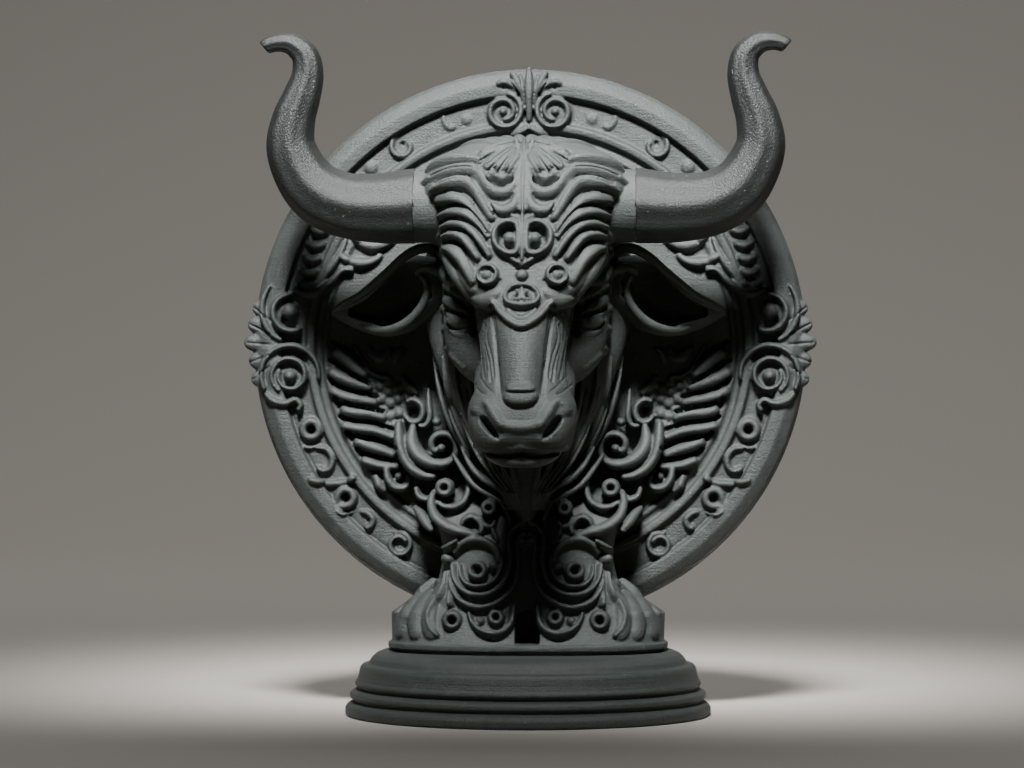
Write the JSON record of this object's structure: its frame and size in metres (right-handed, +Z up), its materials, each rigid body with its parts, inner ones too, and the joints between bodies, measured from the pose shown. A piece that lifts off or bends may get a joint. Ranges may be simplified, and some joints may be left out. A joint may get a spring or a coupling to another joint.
{
  "type": "bull figurine",
  "caption": "Printed desk ornament: a bull's head with long curved horns before an ornate round disc, on a carved stem and stepped round base.",
  "frame": {"origin": "centre of the round base's underside, on the surface that the figurine stands on", "axes": "+Z up, -Y towards the viewer that the bull's face looks at, +X to that viewer's right"},
  "size_m": [0.125, 0.0838, 0.1446],
  "materials": {
    "body_print": "matt charcoal grey print with faint layer lines",
    "horn_print": "satin charcoal grey print, a little smoother than the body"
  },
  "bodies": {
    "root": {"body": "body_print", "left_horn": "horn_print", "right_horn": "horn_print"}
  },
  "joints": []
}
